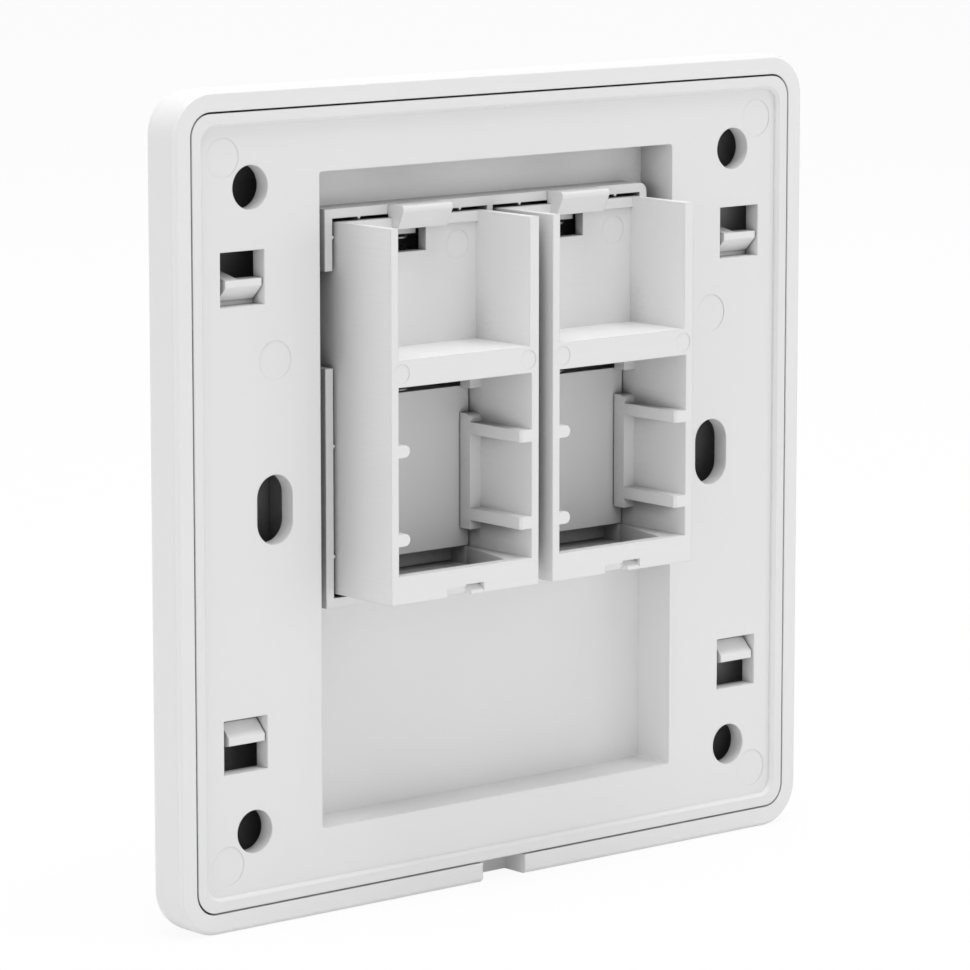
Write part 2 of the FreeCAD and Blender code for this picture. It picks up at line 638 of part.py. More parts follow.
    marks = Profile(body, "mark_outline", "Sizes.rim_step")
    for side_x in (1, -1):
        marks.circle(f"{side_x} * Sizes.side_mark_across", "Sizes.side_mark_up",
                     "Sizes.plate_mark")
        for side_z in (1, -1):
            marks.circle(f"{side_x} * Sizes.corner_mark_across",
                         f"{side_z} * Sizes.corner_mark_up", "Sizes.plate_mark")
    sink(body, marks, "Sizes.mark_depth", "ejector_marks")
    return body


# ---------------------------------------------------------------------------------------------
# Port housings: moulded trays that hold a jack behind and a shutter in front
# ---------------------------------------------------------------------------------------------
def latch_outline(profile):
    """Draw the snap latch from the side: a flat top over the rib, a face and a slope to the lip."""
    front = "-(Sizes.frame_depth - Sizes.latch_gap)"
    root = f"-({PARTITION_FRONT} - Sizes.partition_wall / 2)"
    profile.polygon([
        ("-Sizes.latch_foot", LIP_BOTTOM),
        (root, LIP_BOTTOM),
        (root, "Sizes.housing_top"),
        (front, "Sizes.housing_top"),
        (front, FRAME_TOP),
        ("Sizes.latch_proud", FRAME_TOP),
        ("Sizes.latch_proud", f"({FRAME_TOP} - Sizes.latch_face)"),
    ])


def build_housing(side):
    body = new_body(f"{side}_port_housing")
    rear = "-Sizes.housing_rear"

    block = Profile(body, "housing_outline", rear)
    block.rectangle(f"-{HOUSING_EDGE}", "-Sizes.housing_bottom",
                    HOUSING_EDGE, "Sizes.housing_top")
    grow(body, block, f"Sizes.housing_rear + {PANEL_BACK}", "housing_block")

    upper = Profile(body, "upper_outline", rear)
    upper.rectangle(f"-({HOUSING_EDGE} - Sizes.upper_left_wall)", "Sizes.shelf_top",
                    INSIDE_EDGE, "Sizes.housing_top + Sizes.cap_wall")
    sink(body, upper, "Sizes.housing_rear + Sizes.partition_depth", "upper_compartment")

    lower = Profile(body, "lower_outline", rear)
    lower.rectangle(f"-{INSIDE_EDGE}", SILL, INSIDE_EDGE, SHELF_BOTTOM)
    sink(body, lower, f"Sizes.housing_rear + {PARTITION_FRONT}", "jack_compartment")

    shutter_space = Profile(body, "shutter_space_outline", PARTITION_FRONT)
    shutter_space.rectangle(f"-{INSIDE_EDGE}", INSIDE_BOTTOM, INSIDE_EDGE, INSIDE_TOP)
    sink(body, shutter_space, f"{PANEL_BACK} - {PARTITION_FRONT}", "shutter_space")

    step_rear = f"Sizes.step_rear - {INSIDE_EDGE}"
    step_front = f"Sizes.step_front - {INSIDE_EDGE}"
    sill_rear = "Sizes.housing_rear - Sizes.sill_wall"
    trough = Profile(body, "trough_outline", INSIDE_BOTTOM, "XY_Plane")
    trough.polygon([(INSIDE_EDGE, sill_rear), (step_rear, sill_rear),
                    (step_front, f"-{PARTITION_FRONT}"), (INSIDE_EDGE, f"-{PARTITION_FRONT}")])
    sink(body, trough, f"{SILL} - {INSIDE_BOTTOM}", "sill_trough")

    for edge in (1, -1):
        stop = Profile(body, "stop_outline", PARTITION_FRONT)
        outer = f"{edge} * {INSIDE_EDGE}"
        inner = f"{edge} * ({INSIDE_EDGE} - Sizes.step_front)"
        stop.rectangle(*((inner, INSIDE_BOTTOM, outer, SILL) if edge > 0
                         else (outer, INSIDE_BOTTOM, inner, SILL)))
        grow(body, stop, f"Sizes.collar_depth - {PARTITION_FRONT}", "shutter_stop")

    lip = Profile(body, "lip_outline", "Sizes.partition_depth - Sizes.lip_proud")
    lip.rectangle(f"-({HOUSING_EDGE} - Sizes.upper_left_wall)", LIP_BOTTOM,
                  INSIDE_EDGE, "Sizes.housing_top")
    grow(body, lip, "Sizes.lip_proud", "lip")

    hole = Profile(body, "hole_outline", "Sizes.partition_depth")
    hole.rectangle("-Sizes.window_right", f"{LIP_BOTTOM} - Sizes.window_height",
                   "Sizes.window_width - Sizes.window_right", LIP_BOTTOM)
    sink(body, hole, "Sizes.partition_wall", "square_hole")

    latch = Profile(body, "latch_outline", "-Sizes.latch_left", "YZ_Plane")
    latch_outline(latch)
    grow(body, latch, "Sizes.latch_left + Sizes.latch_right", "snap_latch")
    proud = number("Sizes.latch_proud")
    dress(body, "Fillet", lambda box: abs(box.YMin - proud) < 1e-4 and box.XLength > 1
          and box.YLength < 1e-4, "Sizes.latch_round", "latch_edge_round")

    add_guides(body)
    add_reliefs(body)
    wall_mark = Profile(body, "wall_mark_outline", "Sizes.partition_depth")
    wall_mark.circle("-Sizes.wall_mark_left", "Sizes.wall_mark_up", "Sizes.wall_mark")
    sink(body, wall_mark, "Sizes.mark_depth", "wall_ejector_mark")
    shelf_marks = Profile(body, "shelf_mark_outline", rear)
    for edge in (1, -1):
        shelf_marks.circle(f"{edge} * Sizes.shelf_mark_across", "Sizes.shelf_mark_up",
                           "Sizes.shelf_mark")
    sink(body, shelf_marks, "Sizes.mark_depth", "shelf_ejector_marks")
    return body


def add_reliefs(body):
    """Cut the two small wedges out of the middle of the bottom rear edge."""
    rear = "Sizes.housing_rear"
    bottom = "-Sizes.housing_bottom"
    relief = Profile(body, "relief_outline", "-Sizes.relief_left", "YZ_Plane")
    relief.polygon([(rear, f"{bottom} + Sizes.relief_height"),
                    (f"{rear} - Sizes.relief_run", bottom), (rear, bottom)])
    sink(body, relief, "Sizes.relief_left + Sizes.relief_right", "lower_relief")
    notch = Profile(body, "notch_outline", "-Sizes.notch_left", "YZ_Plane")
    notch.polygon([(rear, "-Sizes.notch_top"), (f"{rear} - Sizes.notch_run", "-Sizes.notch_top"),
                   (rear, f"-Sizes.notch_top - Sizes.notch_run")])
    sink(body, notch, "Sizes.notch_left", "upper_relief")


def add_guides(body):
    """Add the U-shaped jack guides inside both walls of the lower compartment."""
    rail_heights = ("Sizes.rail_upper", "-Sizes.rail_lower")
    nose = "Sizes.rail_wall / 2"
    guides = Profile(body, "guide_outline", GUIDE_BACK)
    for edge in (1, -1):
        outer = f"{edge} * {INSIDE_EDGE}"
        inner = f"{edge} * {GUIDE_EDGE}"
        left, right = (inner, outer) if edge > 0 else (outer, inner)
        guides.rectangle(left, "-Sizes.guide_bottom", right, "Sizes.guide_top")
        guides.rectangle(left, f"{SHELF_BOTTOM} - Sizes.gusset_height", right, SHELF_BOTTOM)
    grow(body, guides, "Sizes.guide_wall", "guide_bars")

    rails = Profile(body, "rail_outline", "-Sizes.housing_rear")
    for height in rail_heights:
        rails.rectangle(f"-{INSIDE_EDGE}", height, f"-{GUIDE_EDGE}",
                        f"{height} + Sizes.rail_wall")
        middle = f"{height} + {nose}"
        rails.slot((f"{GUIDE_EDGE} + {nose}", middle), (f"{HOUSING_EDGE} - {nose}", middle),
                   nose)
    grow(body, rails, f"Sizes.housing_rear + {GUIDE_BACK}", "guide_rails")

    edge, top = number(f"-{GUIDE_EDGE}"), number("Sizes.guide_top")
    dress(body, "Chamfer", lambda box: abs(box.XMin - edge) < 1e-4 and abs(box.XMax - edge) < 1e-4
          and at_depth(number("-Sizes.housing_rear"), box), "Sizes.rail_chamfer", "rail_lead_in")
    dress(body, "Fillet", lambda box: abs(box.ZMin - top) < 1e-4 and abs(box.ZMax - top) < 1e-4
          and at_depth(number(GUIDE_BACK), box), "Sizes.guide_round", "guide_top_round")


# ---------------------------------------------------------------------------------------------
# Front bezels, shutters and their springs
# ---------------------------------------------------------------------------------------------
def build_bezel(side):
    body = new_body(f"{side}_front_bezel")

    flange = Profile(body, "flange_outline", PANEL_BACK)
    flange.rectangle(f"-{BEZEL_EDGE}", BEZEL_BOTTOM, BEZEL_EDGE, BEZEL_TOP)
    grow(body, flange, "Sizes.cover_wall", "flange")

    collar = Profile(body, "collar_outline", "Sizes.collar_depth")
    collar.rectangle(f"-{COLLAR_EDGE}", COLLAR_BOTTOM, COLLAR_EDGE, COLLAR_TOP)
    grow(body, collar, f"{PANEL_BACK} - Sizes.collar_depth", "collar_block")
    inside = Profile(body, "collar_inside", "Sizes.collar_depth")
    inside_edge = f"({COLLAR_EDGE} - Sizes.collar_wall)"
    inside.rectangle(f"-{inside_edge}", "-Sizes.port_bottom",
                     inside_edge, f"{COLLAR_TOP} - Sizes.collar_wall")
    sink(body, inside, f"{PANEL_BACK} - Sizes.collar_depth", "collar")

    seat = Profile(body, "seat_outline", f"{PARTITION_FRONT} + 2 * Sizes.slide_gap")
    seat.rectangle("-Sizes.seat_width / 2", SEAT, "Sizes.seat_width / 2", COLLAR_TOP)
    grow(body, seat, f"{PANEL_BACK} - {PARTITION_FRONT} - 2 * Sizes.slide_gap", "spring_seat")

    port_hole = Profile(body, "port_outline", PANEL_BACK)
    port_hole.rectangle("-Sizes.port_width / 2", "-Sizes.port_bottom",
                        "Sizes.port_width / 2", "Sizes.port_top")
    sink(body, port_hole, "Sizes.cover_wall", "port_opening")
    front = number(COVER_FRONT)
    half_port = number("Sizes.port_width / 2")
    dress(body, "Chamfer", lambda box: at_depth(front, box) and within(box, half_port, half_port),
          "Sizes.port_chamfer", "port_lead_in")
    return body


def build_shutter(side):
    body = new_body(f"{side}_shutter")

    leaf = Profile(body, "leaf_outline", SHUTTER_BACK)
    leaf.rectangle(f"-{SHUTTER_EDGE}", SHUTTER_BOTTOM, SHUTTER_EDGE, SHUTTER_TOP)
    grow(body, leaf, "Sizes.shutter_wall", "leaf")
    head = Profile(body, "head_outline", SHUTTER_BACK)
    head.rectangle(f"-{SHUTTER_EDGE}", f"{SHUTTER_TOP} - Sizes.head_height",
                   SHUTTER_EDGE, SHUTTER_TOP)
    grow(body, head, "Sizes.head_wall", "head")

    grip = Profile(body, "grip_outline", SHUTTER_FRONT)
    grip_bottom = f"({SHUTTER_BOTTOM} + Sizes.grip_low)"
    grip.rectangle("-Sizes.grip_width / 2", grip_bottom, "Sizes.grip_width / 2",
                   f"{grip_bottom} + Sizes.grip_wall")
    ridge = grow(body, grip, "Sizes.grip_proud", "grip_ridge")
    pattern = body.newObject("PartDesign::LinearPattern", "grip_ridges")
    pattern.Originals = [ridge]
    pattern.Direction = (grip.sketch, ["V_Axis"])
    pattern.setExpression("Length", "Sizes.grip_pitch * (Sizes.grip_count - 1)")
    pattern.setExpression("Occurrences", "Sizes.grip_count")
    body.Tip = pattern
    doc.recompute()
    return body


def build_spring(side):
    """Wind a compression spring between a shutter's head and the seat on its bezel.

    Its wire is so fine that a five-sided section stands for the round one.
    """
    body = new_body(f"{side}_shutter_spring")
    coil = "(Sizes.spring_coil - Sizes.spring_wire) / 2"
    wire = Profile(body, "wire_section")
    reach = "Sizes.spring_wire / 2"
    wire.polygon([(f"{coil} + {reach} * cos({angle})", f"{reach} + {reach} * sin({angle})")
                  for angle in range(0, 360, 72)])
    helix = body.newObject("PartDesign::AdditiveHelix", "coils")
    helix.Profile = wire.sketch
    helix.ReferenceAxis = (wire.sketch, ["V_Axis"])
    helix.Mode = "height-turns-growth"
    helix.setExpression("Height", f"{SPRING_HEIGHT} - Sizes.spring_wire")
    helix.setExpression("Turns", "Sizes.spring_turns")
    doc.recompute()
    body.setExpression("Placement.Base.y", f"-{SPRING_DEPTH}")
    body.setExpression("Placement.Base.z", f"{SHUTTER_TOP} + Sizes.spring_gap")
    return body


# ---------------------------------------------------------------------------------------------
# Build, check and write every piece
# ---------------------------------------------------------------------------------------------
pieces = [build_cover(), build_plate()]
for side, port in (("right", 1), ("left", -1)):
    for build in (build_housing, build_bezel, build_shutter, build_spring):
        piece = build(side)
        piece.setExpression("Placement.Base.x", f"{port} * {PORT_ACROSS}")
        pieces.append(piece)
doc.recompute()

for item in doc.Objects:
    if "Invalid" in item.State or "Error" in item.State:
        raise RuntimeError(f"{item.Label} failed: {item.State}")
for piece in pieces:
    if piece.Shape.isNull() or not piece.Shape.isValid() or len(piece.Shape.Solids) != 1:
        raise RuntimeError(f"{piece.Label} is not one valid solid")

os.makedirs("parts", exist_ok=True)
for piece in pieces:
    piece.Shape.exportStep(f"parts/{piece.Label}.step")
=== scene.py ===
"""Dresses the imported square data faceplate: finishes for its mouldings, two wound springs and the studio.

All lengths are in metres. +Y is the back of the faceplate, +Z is up, and the wall plane is Y = 0.
"""

import math

import bpy
from bpy.props import FloatProperty, FloatVectorProperty, IntProperty, PointerProperty
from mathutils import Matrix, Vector


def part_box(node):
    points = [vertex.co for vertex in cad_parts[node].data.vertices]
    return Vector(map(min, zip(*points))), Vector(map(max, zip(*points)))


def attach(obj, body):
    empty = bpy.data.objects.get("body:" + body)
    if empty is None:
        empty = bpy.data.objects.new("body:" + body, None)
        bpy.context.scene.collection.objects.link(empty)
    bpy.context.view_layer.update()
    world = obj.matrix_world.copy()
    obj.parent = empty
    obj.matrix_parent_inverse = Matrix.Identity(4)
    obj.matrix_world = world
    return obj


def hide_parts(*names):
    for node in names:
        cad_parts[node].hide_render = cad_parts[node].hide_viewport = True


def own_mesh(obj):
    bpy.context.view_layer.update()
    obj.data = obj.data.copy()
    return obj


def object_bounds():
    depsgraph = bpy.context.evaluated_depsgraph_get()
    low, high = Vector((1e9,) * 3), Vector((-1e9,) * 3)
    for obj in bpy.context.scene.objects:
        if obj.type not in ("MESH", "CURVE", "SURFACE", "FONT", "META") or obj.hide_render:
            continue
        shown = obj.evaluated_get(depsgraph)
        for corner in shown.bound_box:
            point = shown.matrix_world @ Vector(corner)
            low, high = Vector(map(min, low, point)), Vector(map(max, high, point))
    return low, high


bl_info = {
    "name": "Square data faceplate",
    "version": (1, 0, 0),
    "blender": (4, 5, 0),
    "location": "View3D > Sidebar > Faceplate",
    "description": "Finishes, springs and studio for a square clip-on data faceplate",
    "category": "Object",
}

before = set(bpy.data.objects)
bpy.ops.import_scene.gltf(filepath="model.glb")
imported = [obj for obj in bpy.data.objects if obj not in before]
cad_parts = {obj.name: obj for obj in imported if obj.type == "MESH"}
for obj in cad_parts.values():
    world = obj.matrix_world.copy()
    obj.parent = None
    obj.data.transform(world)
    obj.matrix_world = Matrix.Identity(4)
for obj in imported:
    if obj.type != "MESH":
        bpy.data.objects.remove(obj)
cad_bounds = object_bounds()

MM = 0.001
SIDES = ("right", "left")

# Springs
CLOSED_LEAD = 1.04           # rise of a closed turn, in wire diameters, so that its wire just clears itself
MERGE_DISTANCE = 0.01 * MM
WIRE_SMOOTH_ANGLE = math.radians(50)

# Lowest band of the faceplate, which stands on the floor
FOOT_BAND = 3 * MM

# Studio, in metres from the middle of the faceplate unless it says otherwise
FLOOR_SIZE = 8.0
FLOOR_CLEARANCE = 0.05 * MM
FLOOR_WHITE_SHARE = 0.92     # the rest is lit paper, which keeps the shadow
TOP_LAMP = (Vector((0, 0.1, 1.0)), 0.7)          # place and side length
LEFT_LAMP = (Vector((0.95, 0.3, 0.1)), 0.6)
RIGHT_LAMP = (Vector((-0.8, 0.6, 0.1)), 0.6)
CAMERA_PLACE = (0.33496, 0.39197, 0.08216)       # in the model's frame
CAMERA_TURN = (math.radians(90 - 9.11), 0.0, math.radians(139.71))
SENSOR_WIDTH = 36
NEAREST_SEEN = 0.01


def linear(hex_colour):
    """Turns an sRGB hex colour into linear red, green and blue."""
    channels = (int(hex_colour[i:i + 2], 16) / 255 for i in (0, 2, 4))
    return tuple(c / 12.92 if c <= 0.04045 else ((c + 0.055) / 1.055) ** 2.4 for c in channels)


# Sizes and colours that a user would change


def colour(name, description, hex_colour):
    """A colour property with an sRGB hex default."""
    return FloatVectorProperty(
        name=name, description=description, subtype="COLOR", size=3, min=0, max=1,
        default=linear(hex_colour),
    )


def length(name, description, millimetres):
    """A length property with its default given in millimetres."""
    return FloatProperty(
        name=name, description=description, unit="LENGTH", subtype="DISTANCE", precision=6,
        min=0, default=millimetres * MM,
    )


class FaceplateColours(bpy.types.PropertyGroup):
    """Base colours of the mouldings and the spring wire."""

    cover: colour("Cover", "Polycarbonate of the square front cover", "E9E9E9")
    plate: colour("Plate", "ABS of the mounting plate", "E8E8E8")
    carrier: colour("Carriers", "ABS of the two jack carriers", "E8E8E8")
    bezel: colour("Bezels", "Polycarbonate of the two front bezels", "E9E9E9")
    shutter: colour("Shutters", "Acetal of the two sliding shutters", "DEDEDE")
    wire: colour("Spring wire", "Stainless steel of the two springs", "B4B4B6")


class FaceplateSurface(bpy.types.PropertyGroup):
    """Real sizes of the marks that moulding leaves, and the settings of the shade painted into closed
    hollows.
    """

    edge_round: length("Edge round", "Radius that a moulded corner shows", 0.18)
    grain: length("Grain", "Spacing of the spark-eroded grain", 0.35)
    peel: length("Orange peel", "Spacing of the ripple on a polished face", 1.6)
    cloud: length("Cloud", "Size of the faint patches where the melt cooled unevenly", 16.0)
    line_pitch: length("Cutter lines", "Spacing of the cutter's lines in the carrier mould", 0.45)
    line_reach: length("Line length", "Length over which one cutter line holds", 9.0)
    # The last three set painted shade: closed hollows are darkened in the base colour, not by the lamps.
    painted_shade_reach: length("Hollow reach", "How far off a wall has to be to leave a face open", 20.0)
    hollow_painted_shade: FloatProperty(
        name="Hollow shade", description="How much duller the closed hollows are", default=0.85,
        min=0, max=1)
    painted_shade_open: FloatProperty(
        name="Hollow open", description="Share of the room before a face at which it is at full tone",
        default=0.25, min=0, max=1)


class FaceplateSpring(bpy.types.PropertyGroup):
    """Sizes of the shutter springs."""

    wire: length("Wire", "Diameter of the spring wire", 0.25)
    active_turns: IntProperty(
        name="Active turns", description="Turns that open and close", default=8, min=2, max=30)
    ring_sides: IntProperty(
        name="Wire sides", description="Sides of the round wire's section", default=12, min=6, max=32)
    turn_steps: IntProperty(
        name="Turn steps", description="Steps in one turn of the coil", default=40, min=12, max=96)


class FaceplateStage(bpy.types.PropertyGroup):
    """The studio's lamps and camera."""

    top_strength: FloatProperty(
        name="Top", description="Power of the lamp above the back", default=7.0, min=0)
    left_strength: FloatProperty(
        name="Left", description="Power of the lamp at the camera's left", default=1.0, min=0)
    right_strength: FloatProperty(
        name="Right", description="Power of the lamp at the camera's right", default=1.1, min=0)
    sky_strength: FloatProperty(
        name="Sky", description="Strength of the white surroundings", default=0.62, min=0)
    focal_length: FloatProperty(
        name="Focal length", description="Focal length on a 36 mm sensor, in millimetres",
        default=183.8, min=20)


# Materials


def add_node(tree, kind, settings=None, **sockets):
    """Adds a node, sets its properties, and fills or links the sockets named for it."""
    node = tree.nodes.new(kind)
    for name, value in (settings or {}).items():
        setattr(node, name, value)
    for name, value in sockets.items():
        socket = node.inputs[int(name[1:])] if name[0] == "i" and name[1:].isdigit() else node.inputs[name]
        if isinstance(value, bpy.types.NodeSocket):
            tree.links.new(value, socket)
        else:
            socket.default_value = value
    return node


def new_material(name):
    """A material with an empty node tree and its output node."""
    material = bpy.data.materials.new(name)
    material.use_nodes = True
    material.node_tree.nodes.clear()
    return material, material.node_tree, material.node_tree.nodes.new("ShaderNodeOutputMaterial")


def moulded_plastic(name, base, roughness, ior, grain_depth, peel_depth, line_depth, cloud_contrast):
    """An injection-moulded white plastic, in the depths that its mould's surface gives it.

    Every moulding has softly rounded edges, faint patches of tone, and the mould's own texture:
    an even grain, a slow ripple or the fine lines of a cutter. Spark-eroded grain is really about
    0.05 mm and a finishing cutter's lines about 0.1 mm: both are drawn coarser so that they show.
    Closed hollows get painted shade: an ambient occlusion node darkens the base colour there,
    because soft studio light alone leaves the small deep holes too pale.
    """
    surface = bpy.context.scene.faceplate_surface
    material, tree, output = new_material(name)
    place = add_node(tree, "ShaderNodeTexCoord")
    cloud = add_node(
        tree, "ShaderNodeTexNoise", Vector=place.outputs["Object"],
        Scale=1 / surface.cloud, Detail=3.0, Roughness=0.45)
    grain = add_node(
        tree, "ShaderNodeTexNoise", Vector=place.outputs["Object"],
        Scale=1 / surface.grain, Detail=2.0, Roughness=0.6)
    peel = add_node(
        tree, "ShaderNodeTexNoise", Vector=place.outputs["Object"],
        Scale=1 / surface.peel, Detail=1.0, Roughness=0.4)
    stretched = add_node(
        tree, "ShaderNodeMapping", Vector=place.outputs["Object"],
        Scale=(1 / surface.line_reach, 1 / surface.line_reach, 1 / surface.line_pitch))
    lines = add_node(
        tree, "ShaderNodeTexNoise", Vector=stretched.outputs["Vector"],
        Scale=1.0, Detail=3.0, Roughness=0.75)

    deep = tuple(c * (1 - cloud_contrast) for c in base)
    tone = add_node(
        tree, "ShaderNodeMix", {"data_type": "RGBA"}, Factor=cloud.outputs["Fac"],
        i6=(*deep, 1.0), i7=(*base, 1.0))
    shine = add_node(
        tree, "ShaderNodeMapRange", Value=grain.outputs["Fac"],
        **{"To Min": roughness - 0.04, "To Max": roughness + 0.04})
    # Painted shade: the base colour is darkened where an ambient occlusion node finds other faces close by.
    hollow_occlusion = add_node(
        tree, "ShaderNodeAmbientOcclusion", {"samples": 16}, Distance=surface.painted_shade_reach)
    # The floor is not counted for the painted shade, so the lowest edge, which stands on the floor, keeps
    # its tone.
    height = add_node(tree, "ShaderNodeSeparateXYZ", Vector=place.outputs["Object"])
    foot = cad_bounds[0].z
    standing = add_node(
        tree, "ShaderNodeMapRange", Value=height.outputs["Z"],
        **{"From Min": foot, "From Max": foot + FOOT_BAND, "To Min": 1.0, "To Max": 0.0})
    open_share = add_node(
        tree, "ShaderNodeMath", {"operation": "MAXIMUM"}, i0=hollow_occlusion.outputs["AO"],
        i1=standing.outputs["Result"])
    painted_shade = add_node(
        tree, "ShaderNodeMapRange", Value=open_share.outputs["Value"],
        **{"From Min": 0.03, "From Max": surface.painted_shade_open, "To Min": 1 - surface.hollow_painted_shade})
    # The cloudy tone, scaled down by the painted shade of the hollows.
    tone = add_node(
        tree, "ShaderNodeVectorMath", {"operation": "SCALE"}, i0=tone.outputs[2],
        Scale=painted_shade.outputs["Result"])

    rounded = add_node(tree, "ShaderNodeBevel", {"samples": 6}, Radius=surface.edge_round)
    normal = rounded.outputs["Normal"]
    for pattern, depth in ((peel, peel_depth), (lines, line_depth), (grain, grain_depth)):
        if depth:
            bump = add_node(
                tree, "ShaderNodeBump", Height=pattern.outputs["Fac"], Normal=normal,
                Strength=1.0, Distance=depth * MM)
            normal = bump.outputs["Normal"]
    plastic = add_node(
        tree, "ShaderNodeBsdfPrincipled", Roughness=shine.outputs["Result"], IOR=ior, Normal=normal,
        **{"Base Color": tone.outputs["Vector"]})
    tree.links.new(plastic.outputs["BSDF"], output.inputs["Surface"])
    return material


def drawn_wire(name, base):
    """Stainless spring steel, cold drawn: bright grey, with fine lines from the die.

    The lines are really about 0.01 mm apart and are drawn coarser so that they show.
    """
    material, tree, output = new_material(name)
    place = add_node(tree, "ShaderNodeTexCoord")
    along = add_node(
        tree, "ShaderNodeMapping", Vector=place.outputs["Object"],
        Scale=(1 / (1.5 * MM), 1 / (1.5 * MM), 1 / (0.05 * MM)))
    lines = add_node(
        tree, "ShaderNodeTexNoise", Vector=along.outputs["Vector"], Scale=1.0, Detail=3.0)
    tone = add_node(
        tree, "ShaderNodeMix", {"data_type": "RGBA"}, Factor=lines.outputs["Fac"],
        i6=(*(c * 0.8 for c in base), 1.0), i7=(*base, 1.0))
    shine = add_node(
        tree, "ShaderNodeMapRange", Value=lines.outputs["Fac"], **{"To Min": 0.22, "To Max": 0.38})
    steel = add_node(
        tree, "ShaderNodeBsdfPrincipled", Metallic=1.0, Roughness=shine.outputs["Result"],
        **{"Base Color": tone.outputs[2]})
    tree.links.new(steel.outputs["BSDF"], output.inputs["Surface"])
    return material


def dress(node, material):
    """Puts a material on every slot of a CAD node."""
    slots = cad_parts[node].material_slots
    if not slots:
        raise RuntimeError(f"{node} has no material slot")
    for slot in slots:
        slot.material = material


class FACEPLATE_OT_cover(bpy.types.Operator):
    """Finish the square front cover"""

    bl_idname = "faceplate.cover"
    bl_label = "Finish the cover"

    def execute(self, context):
        # Polycarbonate from a polished mould: soft gloss with a slow ripple in its reflections.
        dress("front_cover", moulded_plastic(
            "polycarbonate_polished_mould", context.scene.faceplate_colours.cover,
            roughness=0.34, ior=1.58, grain_depth=0.0006, peel_depth=0.002, line_depth=0,
            cloud_contrast=0.02))
        return {"FINISHED"}


class FACEPLATE_OT_plate(bpy.types.Operator):
    """Finish the mounting plate"""

    bl_idname = "faceplate.plate"
    bl_label = "Finish the plate"

    def execute(self, context):
        # ABS from a spark-eroded mould: an even satin that spreads highlights.
        dress("mounting_plate", moulded_plastic(
            "abs_spark_eroded_mould", context.scene.faceplate_colours.plate,
            roughness=0.46, ior=1.54, grain_depth=0.002, peel_depth=0.002, line_depth=0.012,
            cloud_contrast=0.03))
        return {"FINISHED"}


class FACEPLATE_OT_carriers(bpy.types.Operator):
    """Finish the two jack carriers"""

    bl_idname = "faceplate.carriers"
    bl_label = "Finish the carriers"

    def execute(self, context):
        # ABS from a milled mould: satin walls with the cutter's faint level lines.
        material = moulded_plastic(
            "abs_milled_mould", context.scene.faceplate_colours.carrier,
            roughness=0.44, ior=1.54, grain_depth=0.0015, peel_depth=0, line_depth=0.03,
            cloud_contrast=0.03)
        for side in SIDES:
            dress(f"{side}_port_housing", material)
        return {"FINISHED"}


class FACEPLATE_OT_bezels(bpy.types.Operator):
    """Finish the two front bezels"""

    bl_idname = "faceplate.bezels"
    bl_label = "Finish the bezels"

    def execute(self, context):
        # Polycarbonate like the cover's, from a finer polished mould.
        material = moulded_plastic(
            "polycarbonate_bezel", context.scene.faceplate_colours.bezel,
            roughness=0.32, ior=1.58, grain_depth=0.0006, peel_depth=0.0015, line_depth=0,
            cloud_contrast=0.02)
        for side in SIDES:
            dress(f"{side}_front_bezel", material)
        return {"FINISHED"}


class FACEPLATE_OT_shutters(bpy.types.Operator):
    """Finish the two sliding shutters"""

    bl_idname = "faceplate.shutters"
    bl_label = "Finish the shutters"

    def execute(self, context):
        # Acetal slides well and looks waxy and a little greyer than ABS.
        material = moulded_plastic(
            "acetal_moulded", context.scene.faceplate_colours.shutter,
            roughness=0.4, ior=1.48, grain_depth=0.001, peel_depth=0.001, line_depth=0.012,
            cloud_contrast=0.03)
        for side in SIDES:
            dress(f"{side}_shutter", material)
        return {"FINISHED"}


# The wound springs


def wind_run(radius, start, turns, rise, spring):
    """Winds one run of round wire about the Z axis, from a height, and applies its place."""
    bpy.ops.object.select_all(action="DESELECT")
    bpy.ops.mesh.primitive_circle_add(
        vertices=spring.ring_sides, radius=spring.wire / 2, location=(radius, 0, 0),
        rotation=(math.pi / 2, 0, 0))
    bpy.ops.object.transform_apply(location=True, rotation=True, scale=True)
    run = bpy.context.object
    screw = run.modifiers.new("wind", "SCREW")
    screw.angle = 2 * math.pi
    screw.iterations = turns
    screw.screw_offset = rise
    screw.steps = screw.render_steps = spring.turn_steps
    bpy.ops.object.modifier_apply(modifier="wind")
    run.location = start
    bpy.ops.object.transform_apply(location=True, rotation=False, scale=False)
    return run


def join_runs(runs):
    """Joins the runs of a coil, merges where they meet and closes its two ends."""
    for run in runs:
        run.select_set(True)
    bpy.context.view_layer.objects.active = runs[0]
    bpy.ops.object.join()
    bpy.ops.object.mode_set(mode="EDIT")
    bpy.ops.mesh.select_all(action="SELECT")
    bpy.ops.mesh.remove_doubles(threshold=MERGE_DISTANCE)
    bpy.ops.mesh.select_all(action="DESELECT")
    bpy.ops.mesh.select_mode(type="EDGE")
    bpy.ops.mesh.select_non_manifold(extend=False)
    bpy.ops.mesh.edge_face_add()
    bpy.ops.mesh.select_all(action="SELECT")
    bpy.ops.mesh.normals_make_consistent(inside=False)
    bpy.ops.object.mode_set(mode="OBJECT")
    bpy.ops.object.shade_smooth_by_angle(angle=WIRE_SMOOTH_ANGLE)
    return bpy.context.object


